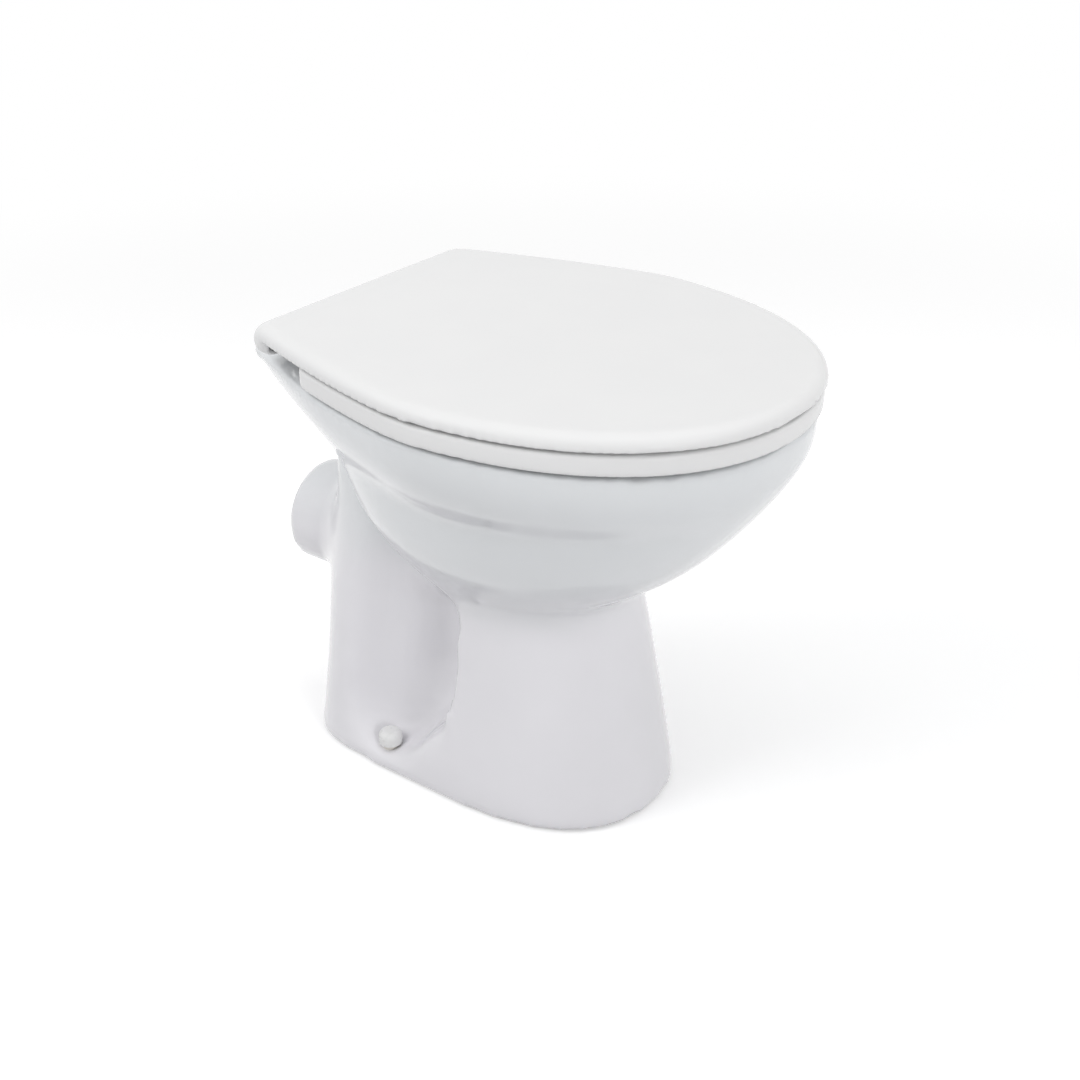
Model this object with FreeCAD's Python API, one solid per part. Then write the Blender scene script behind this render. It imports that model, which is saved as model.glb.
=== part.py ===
import FreeCAD, Part
import math
import os

# A floor-standing wash-down toilet with a horizontal outlet: a vitreous china pan, a seat ring and a lid.
# Millimetres. z = 0 is the floor, -Y is the front, +Y the wall side, x = 0 the plane of symmetry.
# Depths named *_fore are measured forwards (-Y) from the lid's straight rear edge, *_back backwards (+Y).

# Overall sizes
lid_length = 449.0
lid_width = 369.0
rim_height = 390.0
spigot_reach = 59.0
overrun = 2.0

# Outline shared by lid, seat and rim, as seen from above
widest_fore = 206.0
rear_width = 258.0
front_power = 2.15
side_power = 1.34
seat_inset = 1.6
rim_inset = 4.0
side_point_count = 6
front_point_count = 14
egg_point_count = 24

# Lid
lid_top_gap = 34.4
lid_skirt_gap = 21.6
lid_wall = 5.0
lid_edge_radius = 9.0
tail_radius = 14.4
tail_end_radius = 14.0
tail_lip_fore = 9.3
tail_lip_angle = 130.0

# Seat ring
seat_bottom_gap = 3.0
seat_top_gap = 19.0
seat_wall = 5.0
seat_edge_radius = 3.5
seat_inner_edge_radius = 6.0
seat_lower_edge_radius = 2.0
seat_rear_fore = 63.0
seat_corner_radius = 32.0
opening_half_width = 106.0
opening_front_fore = 372.0
opening_rear_fore = 112.0
opening_wide_fore = 232.0

# Hinges
hinge_spacing = 155.0
axis_rise = 20.0
pin_radius = 4.0
pin_half_span = 19.5
bush_radius = 5.5
bush_running_gap = 0.05
eye_radius = 8.5
arm_knuckle_radius = 8.0
bracket_width = 12.0
arm_width = 14.0
arm_root_half_height = 4.9
arm_end_drop = 7.0
lug_width = 10.0
lug_rib_back = 6.0
hinge_gap = 0.5
notch_margin = 0.6
notch_angles = (45.0, -45.0, -135.0, 180.0)
neck_rise = 1.5
neck_drop = 5.5
post_fore = 38.0
post_depth = 7.5
base_radius = 14.0
base_thickness = 6.0
hinge_bolt_fore = 46.0
hinge_hole_radius = 6.5
bolt_radius = 4.0
bolt_head_radius = 6.5
bolt_head_height = 3.6
bolt_head_edge_radius = 2.5
bolt_length = 46.0
washer_radius = 11.0
washer_bore_gap = 0.3
rubber_thickness = 4.0
washer_thickness = 2.0
nut_hub_radius = 8.0
nut_height = 11.0
wing_span = 32.0
wing_thickness = 4.0
wing_drop = 6.0

# Bumpers
bumper_length = 26.0
bumper_width = 9.0
bumper_clearance = 0.3
bumper_peg_radius = 2.5
bumper_peg_length = 4.0
bumper_seat_margin = 2.0
lid_bumper_height = 3.2
seat_bumper_fores = {"rear": 142.0, "front": 330.0}
lid_bumper_fore = 318.0

# Pan: wall, rim and shelf
pan_wall = 11.0
rim_lip_width = 50.0
rim_opening_rear_fore = 98.0
rim_box_height = 44.0
channel_height = 22.0
channel_roof = 11.0
channel_wall = 10.0
flush_hole_radius = 3.0
flush_hole_count = 16
flush_hole_inset = 14.0
shelf_back = 35.0
shelf_corner_radius = 20.0
shelf_knee_fore = 75.0
shelf_taper = 0.13
rim_edge_radius = 6.0
band_depth = 70.0
shelf_plate = 16.0
pocket_rib_half_width = 52.0
pocket_fore = 68.0
skirt_wall = 10.0

# Pan: flush inlet and the chamber behind the bowl
flush_inlet_radius = 27.5
flush_inlet_depth = 34.0
flush_inlet_drop = 55.0
flush_boss_wall = 9.0
flush_boss_edge_radius = 3.0
flush_passage_radius = 20.0
chamber_half_width = 42.0
chamber_rear_fore = 34.0
chamber_front_fore = 64.0

# Pan: foot, niches, trapway and outlet
foot_half_width = 107.8
foot_front_fore = 331.0
foot_rear_back = 15.8
foot_wide_fore = 164.0
pedestal_height = 232.0
pedestal_front_power = 2.5
pedestal_rear_power = 4.2
column_wide_share = 0.5
hollow_top_share = 0.84
niche_floor = 22.0
niche_wall_half_width = 46.0
spigot_radius = 49.0
spigot_axis_height = 183.0
spigot_length = 112.0
spigot_edge_radius = 5.0
spigot_collar_wall = 4.0
spigot_collar_back = 9.0
outlet_bore_radius = 38.0
outlet_bore_depth = 52.0
trap_radius = 32.0
trap_wall = 10.0
trap_end_short = 23.0

# Floor fixings
fixing_half_spacing = 88.0
fixing_fore = 97.0
fixing_hole_radius = 7.0
sleeve_bore_radius = 3.75
sleeve_flange_radius = 9.5
sleeve_flange_height = 2.5
cap_radius = 11.0
cap_height = 13.0
cap_wall = 1.8
cap_outer_edge_radius = 6.6
cap_inner_edge_radius = 5.5

# Shares of the band's depth, then of the rim's half-width, front reach and rear reach from its widest place
band_shares = (
    (0.00, 1.000, 1.000, 1.000),
    (0.14, 0.995, 1.000, 0.970),
    (0.36, 0.975, 0.988, 0.895),
    (0.61, 0.925, 0.945, 0.825),
    (0.81, 0.865, 0.875, 0.800),
    (1.00, 0.790, 0.780, 0.800),
)
# Shares of the rim's height and half-width, then of its depth for the front, the rear and the widest place
bowl_shares = (
    (0.885, 0.800, 0.978, 0.035, 0.464),
    (0.833, 0.795, 0.950, 0.045, 0.464),
    (0.769, 0.775, 0.908, 0.062, 0.464),
    (0.692, 0.725, 0.851, 0.085, 0.460),
    (0.615, 0.640, 0.780, 0.118, 0.445),
    (0.564, 0.560, 0.714, 0.135, 0.425),
    (0.526, 0.505, 0.656, 0.145, 0.400),
    (0.487, 0.470, 0.600, 0.150, 0.375),
    (0.450, 0.400, 0.550, 0.170, 0.350),
)
cavity_shares = (
    (0.887, 0.840, 0.940, 0.170, 0.464),
    (0.808, 0.712, 0.900, 0.207, 0.464),
    (0.769, 0.706, 0.876, 0.222, 0.464),
    (0.692, 0.655, 0.810, 0.256, 0.464),
    (0.615, 0.560, 0.735, 0.311, 0.464),
    (0.551, 0.455, 0.640, 0.356, 0.464),
    (0.462, 0.345, 0.560, 0.397, 0.464),
    (0.359, 0.262, 0.520, 0.412, 0.464),
    (0.282, 0.215, 0.500, 0.415, 0.464),
    (0.225, 0.160, 0.488, 0.422, 0.464),
)
shell_first_row = 2
# Shares of the pedestal's height, of the foot's half-width and front depth, and of its rear overhang
pedestal_shares = (
    (0.000, 1.000, 1.000, 1.00),
    (0.055, 0.991, 0.994, 0.92),
    (0.250, 0.950, 0.972, 0.62),
    (0.520, 0.888, 0.937, 0.32),
    (0.700, 0.846, 0.913, 0.15),
    (0.850, 0.810, 0.890, -0.60),
    (1.000, 0.770, 0.862, -1.90),
)
# Shares of the pedestal's height, of the foot's half-width and widest depth, and of its rear overhang
column_shares = (
    (0.550, 0.700, 0.950, 0.35),
    (0.780, 0.660, 0.920, 0.28),
    (1.000, 0.625, 0.880, 0.05),
    (1.250, 0.580, 0.840, -0.30),
    (1.500, 0.545, 0.790, -0.50),
)
# The niche's outline seen from the side: shares of the foot's widest depth and of the pedestal's height
tear_shares = (
    (0.54, 0.075), (0.66, 0.078), (0.78, 0.13), (0.90, 0.225), (1.02, 0.33), (1.09, 0.46), (1.11, 0.60),
    (1.09, 0.74), (1.04, 0.845), (0.90, 0.89), (0.76, 0.93), (0.63, 1.02), (0.50, 1.15), (0.42, 1.25),
    (0.34, 1.22), (0.30, 1.00), (0.30, 0.60), (0.32, 0.28), (0.42, 0.13),
)
# The niche seen from above: shares of its wall's half-width and of the foot's widest depth
niche_plan_shares = (
    (1.00, 1.30), (1.00, 0.88), (1.15, 0.62), (1.51, 0.45), (1.92, 0.35), (4.70, 0.20), (4.70, 1.30),
)
# Corners of the trapway: share of the foot's widest depth, then rise over the outlet's axis and bend radius
# as shares of the outlet's radius
trap_shares = (
    (1.250, -1.00, 0.00),
    (0.850, -1.04, 0.90),
    (0.600, 1.04, 0.90),
    (0.246, 1.04, 0.90),
    (0.094, 0.00, 0.90),
    (-0.372, 0.00, 0.00),
)
bowl_powers = (2.2, 2.3)
cavity_powers = (2.1, 2.1)

Vec = FreeCAD.Vector
lid_rear_y = (lid_length - spigot_reach) / 2
axis_height = rim_height + axis_rise
axis_fore = tail_radius
axis_y = lid_rear_y - axis_fore
inlet_height = rim_height - flush_inlet_drop
inlet_back = shelf_back - skirt_wall
rim_half_width = lid_width / 2 - rim_inset
rim_front_fore = lid_length - rim_inset
pin_bore_radius = pin_radius + bush_running_gap
bolt_bore_radius = bolt_radius + washer_bore_gap
up = Vec(0, 0, 1)
across = Vec(1, 0, 0)
backward = Vec(0, 1, 0)


# Outlines

def side_half_width(fore):
    """Half-width of the lid's outline at a distance forward of its rear edge."""
    half = lid_width / 2
    ratio = max(0.0, 1 - fore / widest_fore)
    return half - (half - rear_width / 2) * ratio ** side_power


def rim_side_half_width(fore):
    """Half-width of the pan's rim and shelf, which runs in behind the knee."""
    return side_half_width(fore) - rim_inset - shelf_taper * max(0.0, shelf_knee_fore - fore)


def egg_point(angle, half_width, wide_fore, front_fore, rear_fore, powers):
    """A point of an egg outline, its angle counted from +X; powers are those of the front and the rear."""
    c, s = math.cos(angle), math.sin(angle)
    power = powers[0] if s < 0 else powers[1]
    reach = front_fore - wide_fore if s < 0 else wide_fore - rear_fore
    stretch = (abs(c) ** power + abs(s) ** power) ** (-1 / power)
    return half_width * c * stretch, lid_rear_y - wide_fore + reach * s * stretch


def egg_half_width(fore, half_width, wide_fore, front_fore, rear_fore, power):
    """Half-width of an egg outline at a fore distance."""
    reach = front_fore - wide_fore if fore > wide_fore else wide_fore - rear_fore
    ratio = min(1.0, abs(fore - wide_fore) / reach)
    return half_width * (1 - ratio ** power) ** (1 / power)


def egg_wire(z, half_width, wide_fore, front_fore, rear_fore, powers):
    """A closed smooth egg outline at height z."""
    points = []
    for i in range(egg_point_count):
        angle = 2 * math.pi * i / egg_point_count
        x, y = egg_point(angle, half_width, wide_fore, front_fore, rear_fore, powers)
        points.append(Vec(x, y, z))
    curve = Part.BSplineCurve()
    curve.interpolate(Points=points, PeriodicFlag=True)
    return Part.Wire([curve.toShape()])


def mirror_point(point):
    """The point on the other side of the plane of symmetry."""
    return Vec(-point.x, point.y, point.z)


def bowed_wire(z, side, rear_fore, corner, inset=0.0, shares=(1.0, 1.0, 1.0)):
    """An outline with bowed sides, an egg-shaped front and a straight rear with round corners.

    side gives the half-width at a fore distance. The shares scale the width, the front and the rear reach.
    """
    lean = math.atan((side(rear_fore + corner) - side(rear_fore)) / corner)
    turn = math.pi / 2 - lean
    tangent = corner * math.tan(turn / 2)
    start = rear_fore + tangent * math.cos(lean)
    rear_x = side(rear_fore) - tangent
    middle_turn = lean + turn / 2
    width_share, front_share, rear_share = shares

    def place(x, fore):
        """The point moved by the shares and the inset."""
        beyond = fore - widest_fore
        beyond = beyond * front_share - inset if beyond > 0 else beyond * rear_share + inset
        return Vec(x * width_share - inset, lid_rear_y - widest_fore - beyond, z)

    half = side(widest_fore)
    reach = lid_length - (lid_width / 2 - half)
    right = []
    for i in range(side_point_count):
        fore = start + (widest_fore - start) * i / side_point_count
        right.append(place(side(fore), fore))
    powers = (front_power, front_power)
    for i in range(front_point_count // 2):
        x, y = egg_point(-math.pi * i / front_point_count, half, widest_fore, reach, 0.0, powers)
        right.append(place(x, lid_rear_y - y))
    tip = Vec(0, place(0, reach).y, z)
    left = [mirror_point(point) for point in reversed(right)]
    front = Part.BSplineCurve()
    front.interpolate(right + [tip] + left)
    rear_right = place(rear_x, rear_fore)
    middle_fore = rear_fore + corner * (1 - math.sin(middle_turn))
    arc_middle = place(rear_x + corner * math.cos(middle_turn), middle_fore)
    return Part.Wire([
        front.toShape(),
        Part.Arc(left[-1], mirror_point(arc_middle), mirror_point(rear_right)).toShape(),
        Part.LineSegment(mirror_point(rear_right), rear_right).toShape(),
        Part.Arc(rear_right, arc_middle, right[0]).toShape(),
    ])


def plate_wire(z, inset, rear_fore, corner):
    """The lid's and seat's outline, drawn in by an inset."""
    return bowed_wire(z, side_half_width, rear_fore, corner, inset)


def rim_wire(z, inset=0.0, shares=(1.0, 1.0, 1.0)):
    """The outline of the pan's rim with the hinge shelf behind it."""
    return bowed_wire(z, rim_side_half_width, -shelf_back, shelf_corner_radius, inset, shares)


# Solids

def loft(wires, ruled=False):
    """A closed solid through a stack of outlines."""
    return Part.makeLoft(wires, True, ruled)


def egg_stack(rows, powers):
    """A loft through eggs, each row giving height, half-width, front, rear and widest fore distances."""
    return loft([egg_wire(z, half, wide, front, rear, powers) for z, half, front, rear, wide in rows])


def box(x0, x1, y0, y1, z0, z1):
    """A box between two corners."""
    return Part.makeBox(x1 - x0, y1 - y0, z1 - z0, Vec(x0, y0, z0))


def bar(radius, length, x, y, z, direction=up):
    """A round bar that starts at a point and runs along a direction."""
    return Part.makeCylinder(radius, length, Vec(x, y, z), direction)


def tube(outer, inner, length, x, y, z, direction=up):
    """A round bar with a bore right through it."""
    start = Vec(x, y, z) - direction * overrun
    bore = Part.makeCylinder(inner, length + 2 * overrun, start, direction)
    return bar(outer, length, x, y, z, direction).cut(bore)


def rounded_bar(radius, length, x, y, z, direction, edge, far=False):
    """A round bar with a round edge at its starting end, or at its far end."""
    solid = bar(radius, length, x, y, z, direction)
    middle = Vec(x, y, z) + direction * (length / 2)
    rims = []
    for rim in solid.Edges:
        if rim.Closed and ((rim.CenterOfMass - middle).dot(direction) > 0) == far:
            rims.append(rim)
    return solid.makeFillet(edge, rims)


def extruded(corners, width):
    """A solid from a flat outline of points at its lowest x, pulled across by a width."""
    return Part.Face(Part.makePolygon(corners + corners[:1])).extrude(across * width)


def side_outline(x, pairs):
    """Points at one x from pairs of fore distance and height."""
    return [Vec(x, lid_rear_y - fore, height) for fore, height in pairs]


def union(shapes):
    """All the shapes joined in one."""
    whole = shapes[0]
    for shape in shapes[1:]:
        whole = whole.fuse(shape)
    return whole


def mirrored(shape):
    """The same shape on the other side of the plane of symmetry."""
    return shape.mirror(Vec(0, 0, 0), across)


def rounded_steps(radius, steps=4):
    """Insets and rises of a quarter round edge, from the vertical wall to the flat top."""
    for i in range(steps + 1):
        angle = math.pi / 2 * i / steps
        yield radius * (1 - math.cos(angle)), radius * math.sin(angle)


# Pan

def scaled_rows(shares, grow=0.0):
    """Rows for a stack of eggs from shares of the rim's sizes, grown outwards by a wall."""
    rows = []
    for height, half, front, rear, wide in shares:
        rows.append((
            height * rim_height,
            half * rim_half_width + grow,
            front * rim_front_fore + grow,
            rear * rim_front_fore - grow,
            wide * rim_front_fore,
        ))
    return rows


def bowl_shell():
    """What the bowl's inner form takes up together with its wall, its floor included."""
    rows = scaled_rows(cavity_shares[shell_first_row:], pan_wall)
    height, half, front, rear, wide = rows[-1]
    rows.append((height - pan_wall, half - pan_wall / 2, front - pan_wall / 2, rear + pan_wall / 2, wide))
    return egg_stack(rows, cavity_powers)


def pedestal(inset=0.0, height_share=1.0):
    """The foot and pedestal, or the space inside them."""
    rows = []
    for height, half, front, rear in pedestal_shares:
        rows.append((
            height * pedestal_height * height_share,
            half * foot_half_width - inset,
            front * foot_front_fore - inset,
            -rear * foot_rear_back + inset,
            foot_wide_fore,
        ))
    return egg_stack(rows, (pedestal_front_power, pedestal_rear_power))


def column():
    """The rear column that carries the trapway up to the underside of the shelf."""
    rows = []
    for height, half, front, rear in column_shares:
        rows.append((
            height * pedestal_height,
            half * foot_half_width,
            front * foot_wide_fore,
            -rear * foot_rear_back,
            column_wide_share * foot_wide_fore,
        ))
    return egg_stack(rows, (pedestal_front_power, pedestal_rear_power))


def rim_band(inset=0.0):
    """The bulging band of the box rim, one form with the hinge shelf behind it."""
    wires = []
    for drop, half, front, rear in band_shares:
        height = rim_height - rim_edge_radius - drop * band_depth
        wires.append(rim_wire(height, inset, (half, front, rear)))
    return loft(wires)


def rim_top():
    """The flat top of the rim with its round edge."""
    wires = []
    for step_inset, rise in rounded_steps(rim_edge_radius):
        wires.append(rim_wire(rim_height - rim_edge_radius + rise, step_inset))
    return loft(wires, True)


def niche_column(bottom, grow=0.0):
    """The niche's outline seen from above, or the same grown by a wall, pulled up from a height."""
    corners = []
    for half, fore in niche_plan_shares:
        corners.append(Vec(half * niche_wall_half_width, lid_rear_y - fore * foot_wide_fore, bottom))
    outline = Part.makePolygon(corners + corners[:1])
    if grow:
        outline = outline.makeOffset2D(grow, 2)
    return Part.Face(outline).extrude(up * rim_height)


def niche_tool():
    """One side niche: a tear-shaped outline seen from the side, cut inwards to the trapway's wall."""
    tear = [(fore * foot_wide_fore, height * pedestal_height) for fore, height in tear_shares]
    curve = Part.BSplineCurve()
    curve.interpolate(Points=side_outline(0, tear), PeriodicFlag=True)
    side = Part.Face(Part.Wire([curve.toShape()])).extrude(across * 2 * foot_half_width)
    return side.common(niche_column(niche_floor))


def trap_path(short):
    """The line of the trapway, from the sump up over the weir and down into the outlet, ended short."""
    points = []
    for fore, rise, bend in trap_shares:
        points.append(Vec(0, lid_rear_y - fore * foot_wide_fore, spigot_axis_height + rise * spigot_radius))
    points[-1] = points[-1] - backward * short
    edges = []
    last = points[0]
    for i in range(1, len(points) - 1):
        before = (points[i - 1] - points[i]).normalize()
        after = (points[i + 1] - points[i]).normalize()
        half_angle = before.getAngle(after) / 2
        radius = trap_shares[i][2] * spigot_radius
        start = points[i] + before * (radius / math.tan(half_angle))
        end = points[i] + after * (radius / math.tan(half_angle))
        bisector = (before + after).normalize()
        middle = points[i] + bisector * (radius / math.sin(half_angle) - radius)
        edges.append(Part.LineSegment(last, start).toShape())
        edges.append(Part.Arc(start, middle, end).toShape())
        last = end
    edges.append(Part.LineSegment(last, points[-1]).toShape())
    return Part.Wire(edges)


def trap(radius, short=0.0):
    """A round solid of the given radius along the trapway."""
    path = trap_path(short)
    first = path.Edges[0]
    direction = first.tangentAt(first.FirstParameter)
    circle = Part.Wire([Part.Circle(first.Vertexes[0].Point, direction, radius).toShape()])
    return path.makePipeShell([circle], True, True)


def rim_mouth(grow, z0, z1):
    """The opening in the rim between two heights, or the same grown outwards."""
    half = rim_half_width - rim_lip_width + grow
    front = rim_front_fore - rim_lip_width + grow
    rows = [(z, half, front, rim_opening_rear_fore - grow, opening_wide_fore) for z in (z0, z1)]
    return egg_stack(rows, cavity_powers)


def rim_channel():
    """The water channel inside the box rim, with the holes that let the water down into the bowl."""
    roof = rim_height - channel_roof
    floor = roof - channel_height
    outer = rim_mouth(rim_lip_width - channel_wall - pan_wall, floor, roof)
    channel = outer.cut(rim_mouth(channel_wall, floor - overrun, roof + overrun))
    half = rim_half_width - rim_lip_width + flush_hole_inset
    front = rim_front_fore - rim_lip_width + flush_hole_inset
    rear = rim_opening_rear_fore - flush_hole_inset
    for i in range(flush_hole_count):
        angle = 2 * math.pi * (i + 0.5) / flush_hole_count
        x, y = egg_point(angle, half, opening_wide_fore, front, rear, cavity_powers)
        hole = bar(flush_hole_radius, rim_box_height - channel_roof, x, y, roof - overrun, -up)
        channel = channel.fuse(hole)
    return channel


def flush_way():
    """The socket for the flush pipe, the chamber behind the bowl and the way on into the rim's channel."""
    mouth_y = lid_rear_y + inlet_back + overrun
    front_y = lid_rear_y - chamber_front_fore
    rear_y = lid_rear_y - chamber_rear_fore
    roof = rim_height - channel_roof
    socket = bar(flush_inlet_radius, flush_inlet_depth + overrun, 0, mouth_y, inlet_height, -backward)
    passage = bar(flush_passage_radius, mouth_y - rear_y + overrun, 0, mouth_y, inlet_height, -backward)
    weir_top = spigot_axis_height + 2 * spigot_radius + trap_wall
    chamber = box(-chamber_half_width, chamber_half_width, front_y, rear_y, weir_top,
                  rim_height - shelf_plate)
    link = box(-chamber_half_width / 2, chamber_half_width / 2, front_y - channel_height, front_y + overrun,
               roof - channel_height + overrun, rim_height - shelf_plate - overrun)
    return union([chamber, link, passage, socket])


def hollow_foot():
    """The space under the pan, open at the floor, kept clear of bowl, trapway and niches."""
    under = pedestal(pan_wall, hollow_top_share)
    fores = [fore * foot_wide_fore for fore, height in tear_shares]
    beside = box(niche_wall_half_width - pan_wall, lid_width, lid_rear_y - max(fores) - pan_wall,
                 lid_rear_y - min(fores) + pan_wall, -overrun, rim_height)
    beside = beside.common(niche_column(-overrun, pan_wall))
    for keep in (beside, mirrored(beside), bowl_shell(), trap(trap_radius + trap_wall)):
        under = under.cut(keep)
    # Only the space that is open at the floor: a pocket shut in between bowl and trapway stays solid
    return max(under.Solids, key=lambda solid: solid.Volume)


def hinge_pocket():
    """The room under the shelf for a hinge's nut, open at the back below the shelf's skirt."""
    return rim_band(skirt_wall).common(box(
        pocket_rib_half_width, lid_width, lid_rear_y - pocket_fore, lid_rear_y + shelf_back,
        0, rim_height - shelf_plate))


def pan_outside():
    """The pan's outer form, with nothing inside it yet."""
    bowl = egg_stack(scaled_rows(bowl_shares), bowl_powers)
    body = union([rim_band().fuse(rim_top()), bowl, pedestal(), column()])
    for tool in (niche_tool(), mirrored(niche_tool())):
        body = body.cut(tool)
    boss_length = inlet_back + rim_opening_rear_fore - pan_wall
    boss = rounded_bar(flush_inlet_radius + flush_boss_wall, boss_length, 0, lid_rear_y + inlet_back,
                       inlet_height, -backward, flush_boss_edge_radius)
    spigot = rounded_bar(spigot_radius, spigot_length, 0, lid_rear_y + spigot_reach, spigot_axis_height,
                         -backward, spigot_edge_radius)
    collar = bar(spigot_radius + spigot_collar_wall, spigot_collar_back + axis_fore, 0,
                 lid_rear_y + spigot_collar_back, spigot_axis_height, -backward)
    return union([body, boss, trap(trap_radius + trap_wall, trap_end_short), spigot, collar])


def make_pan():
    """The pan: one piece of vitreous china with bowl, box rim, trapway, hollow foot and outlet."""
    pan = pan_outside()
    mouth = rim_mouth(0.0, rim_height - rim_box_height - overrun, rim_height + overrun)
    cavity = egg_stack(scaled_rows(cavity_shares), cavity_powers)
    outlet = bar(outlet_bore_radius, outlet_bore_depth + overrun, 0, lid_rear_y + spigot_reach + overrun,
                 spigot_axis_height, -backward)
    tools = [hinge_pocket(), mirrored(hinge_pocket()), mouth, cavity, trap(trap_radius), outlet,
             hollow_foot(), rim_channel(), flush_way()]
    for side in (-1, 1):
        tools.append(bar(hinge_hole_radius, 2 * shelf_plate, side * hinge_spacing / 2,
                         lid_rear_y - hinge_bolt_fore, rim_height + overrun, -up))
        tools.append(bar(fixing_hole_radius, 2 * niche_floor, side * fixing_half_spacing,
                         lid_rear_y - fixing_fore, niche_floor + overrun, -up))
    for tool in tools:
        pan = pan.cut(tool)
    return pan


# Lid

def lid_plate(inset, bottom):
    """The lid's solid form, without its rolled rear end, drawn in by an inset on every side."""
    top = rim_height + lid_top_gap - inset
    edge = lid_edge_radius - inset / 2
    wires = [plate_wire(bottom, inset, 0.0, lid_edge_radius)]
    for step_inset, rise in rounded_steps(edge):
        wires.append(plate_wire(top - edge + rise, inset + step_inset, 0.0, lid_edge_radius))
    ahead = box(-lid_width, lid_width, lid_rear_y - lid_length - overrun, axis_y, 0, top + overrun)
    return loft(wires, True).common(ahead)


def polar(radius, angle, x=0.0):
    """A point round the hinge axis; the angle in degrees is 0 towards the rear and 90 upwards."""
    turn = math.radians(angle)
    return Vec(x, axis_y + radius * math.cos(turn), axis_height + radius * math.sin(turn))


def tail_core(x):
    """The room inside the rolled tail, open at the front below its lip, from -x to x."""
    inner = tail_radius - lid_wall
    top, lip = polar(inner, 90, -x), polar(inner, -tail_lip_angle, -x)
    outside, front = polar(2 * tail_radius, -tail_lip_angle, -x), top - backward * 2 * tail_radius
    edges = [Part.Arc(top, polar(inner, 45 - tail_lip_angle / 2, -x), lip), Part.LineSegment(lip, outside),
             Part.LineSegment(outside, front), Part.LineSegment(front, top)]
    return Part.Face(Part.Wire([edge.toShape() for edge in edges])).extrude(across * 2 * x)


def lug_span(side):
    """The lowest and highest x of the lid's lug."""
    outer = hinge_spacing / 2 - bracket_width / 2 - hinge_gap
    return sorted((side * (outer - lug_width), side * outer))


def arm_span(side):
    """The lowest and highest x of the seat's arm."""
    inner = hinge_spacing / 2 + bracket_width / 2 + hinge_gap
    return sorted((side * inner, side * (inner + arm_width)))


def bore_across(span):
    """The hole for a bush across a lug or an arm."""
    return bar(bush_radius, span[1] - span[0] + 2 * overrun, span[0] - overrun, axis_y, axis_height, across)


def notch_tool(side):
    """The slot through the lid's tail that a bracket and a seat arm pass through."""
    inner = hinge_spacing / 2 - bracket_width / 2 - notch_margin
    outer = hinge_spacing / 2 + bracket_width / 2 + hinge_gap + arm_width + notch_margin
    x = min(side * inner, side * outer)
    corners = [polar(0, 0, x)] + [polar(2 * tail_radius, angle, x) for angle in notch_angles]
    return extruded(corners, outer - inner)


def lid_lug(side):
    """A rib under the lid with an eye for the hinge pin."""
    low, high = lug_span(side)
    eye = bar(eye_radius, high - low, low, axis_y, axis_height, across)
    rib = box(low, high, axis_y - eye_radius, axis_y + lug_rib_back, axis_height,
              rim_height + lid_top_gap - lid_wall / 2)
    return eye.fuse(rib).cut(bore_across((low, high)))


def make_lid():
    """The lid: a thin dished plate with a rolled tail round the hinge line and two lugs inside it."""
    bottom = rim_height + lid_skirt_gap
    half = side_half_width(axis_fore)
    tail = bar(tail_radius, 2 * half, -half, axis_y, axis_height, across)
    tail = tail.makeFillet(tail_end_radius, [edge for edge in tail.Edges if edge.Closed])
    tail = tail.cut(box(-lid_width, lid_width, axis_y - 2 * tail_radius, axis_y - tail_lip_fore, 0, bottom))
    lid = lid_plate(0.0, bottom).fuse(tail)
    lid = lid.cut(lid_plate(lid_wall, bottom - overrun)).cut(tail_core(half - lid_wall))
    ceiling = rim_height + lid_top_gap - lid_wall
    for side in (-1, 1):
        lid = lid.cut(notch_tool(side)).fuse(lid_lug(side))
        lid = add_boss(lid, side, lid_bumper_fore, lid_bumper_base(), ceiling + lid_wall / 2)
    return lid


# Seat

def seat_opening(z0, z1, grow):
    """The hole in the middle of the seat ring, between two heights."""
    half = opening_half_width + grow
    front = opening_front_fore + grow
    rows = [(z, half, front, opening_rear_fore - grow, opening_wide_fore) for z in (z0, z1)]
    return egg_stack(rows, cavity_powers)


def seat_ring(bottom, top):
    """The solid ring, with round edges outside and round its opening."""
    wires = []
    for step_inset, rise in reversed(list(rounded_steps(seat_lower_edge_radius, 2))):
        height = bottom + seat_lower_edge_radius - rise
        wires.append(plate_wire(height, seat_inset + step_inset, seat_rear_fore, seat_corner_radius))
    for step_inset, rise in rounded_steps(seat_edge_radius):
        height = top - seat_edge_radius + rise
        wires.append(plate_wire(height, seat_inset + step_inset, seat_rear_fore, seat_corner_radius))
    ring = loft(wires, True).cut(seat_opening(bottom - overrun, top + overrun, 0.0))
    rims = []
    for edge in ring.Edges:
        inside = edge.BoundBox.XLength < 2 * (opening_half_width + seat_wall)
        if edge.Closed and inside and edge.CenterOfMass.z > (bottom + top) / 2:
            rims.append(edge)
    return ring.makeFillet(seat_inner_edge_radius, rims)


def seat_arm(side):
    """An arm that reaches back from the ring to its hinge pin."""
    low, high = arm_span(side)
    end_fore = seat_rear_fore + seat_wall
    corners = side_outline(low, [
        (axis_fore, axis_height + arm_root_half_height), (axis_fore, axis_height - arm_root_half_height),
        (end_fore, axis_height - arm_end_drop), (end_fore, rim_height + seat_top_gap)])
    knuckle = bar(arm_knuckle_radius, high - low, low, axis_y, axis_height, across)
    return knuckle.fuse(extruded(corners, high - low))


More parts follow.
